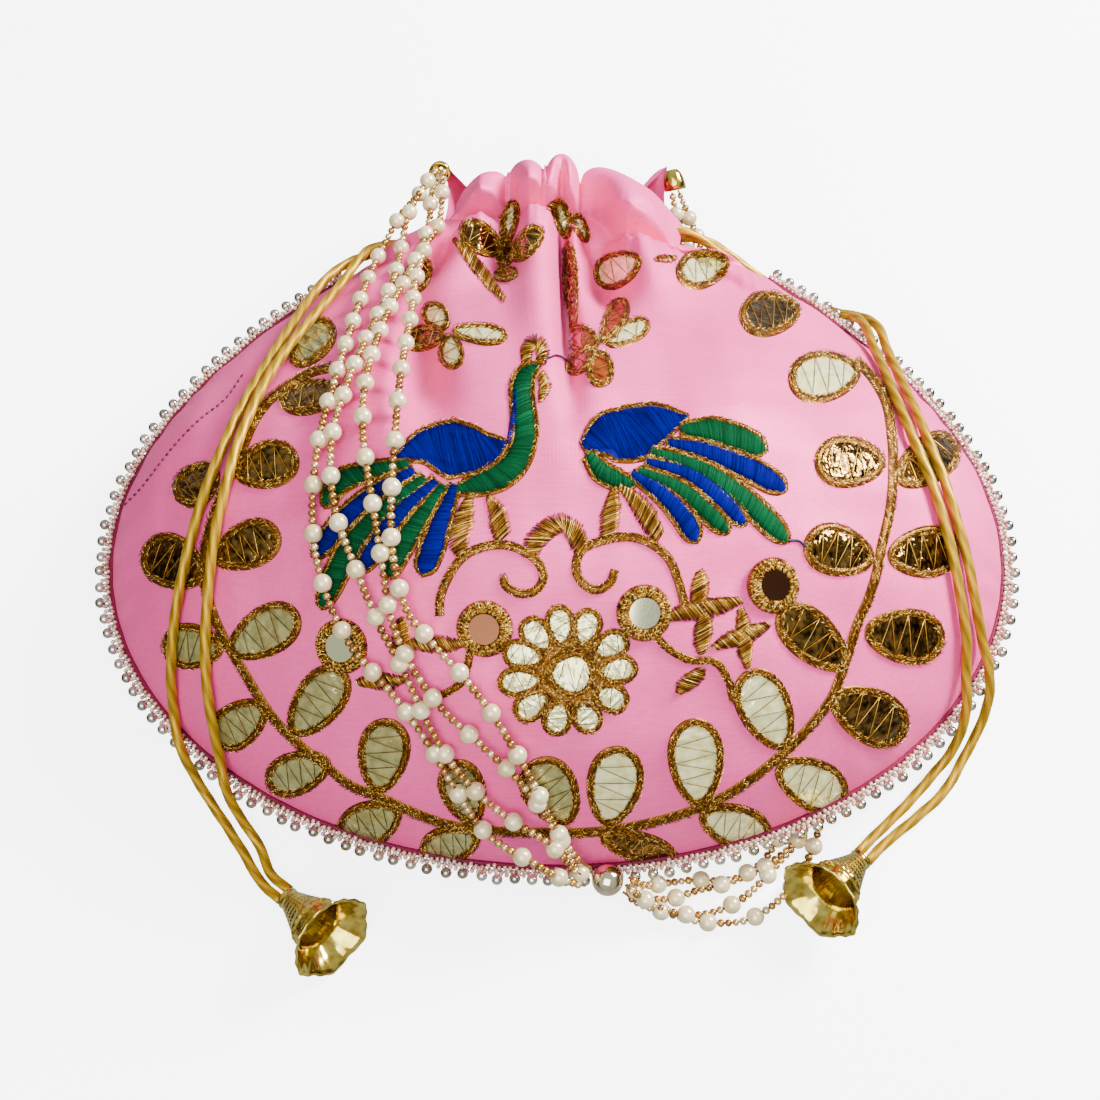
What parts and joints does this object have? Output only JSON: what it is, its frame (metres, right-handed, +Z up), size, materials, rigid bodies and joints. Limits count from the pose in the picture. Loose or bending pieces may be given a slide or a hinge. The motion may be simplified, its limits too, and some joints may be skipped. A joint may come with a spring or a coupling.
{
  "type": "potli bag",
  "caption": "Gathered satin drawstring pouch lying on its back, with peacock and leaf embroidery, bead edging, a beaded strap and gold cords that end in flower bells.",
  "frame": {"origin": "on the table, under the middle of the flat patch that the bag's back rests on", "axes": "+X across the bag to the right as seen from above, +Y from the base to the frill, +Z up out of the embroidered front"},
  "size_m": [0.2644, 0.2524, 0.0751],
  "materials": {
    "satin": "pink dupion satin with a soft sheen",
    "lining": "plain woven lining",
    "gold_cord": "golden rayon satin cord",
    "gold_metal": "pale gold plated, polished",
    "beaded_thread": "cream imitation pearls and clear gold seed beads on thread",
    "silver_beads": "silver and rose seed beads",
    "mirror": "small round mirror"
  },
  "bodies": {
    "root": {"front_panel": "satin", "back_panel": "satin", "front_lining": "lining", "back_lining": "lining", "bead_edging": "silver_beads", "left_drawcord": "gold_cord", "right_drawcord": "gold_cord", "left_bell": "gold_metal", "right_bell": "gold_metal", "ball_bead": "gold_metal", "strap_end_left": "gold_metal", "strap_end_right": "gold_metal", "mirror_left_outer": "mirror", "mirror_left_inner": "mirror", "mirror_right_inner": "mirror", "mirror_right_outer": "mirror", "strap_front_strand_1": "beaded_thread", "strap_front_strand_2": "beaded_thread", "strap_front_strand_3": "beaded_thread", "strap_front_strand_4": "beaded_thread", "strap_back_strand_1": "beaded_thread", "strap_back_strand_2": "beaded_thread", "strap_back_strand_3": "beaded_thread", "strap_back_strand_4": "beaded_thread"}
  },
  "joints": []
}
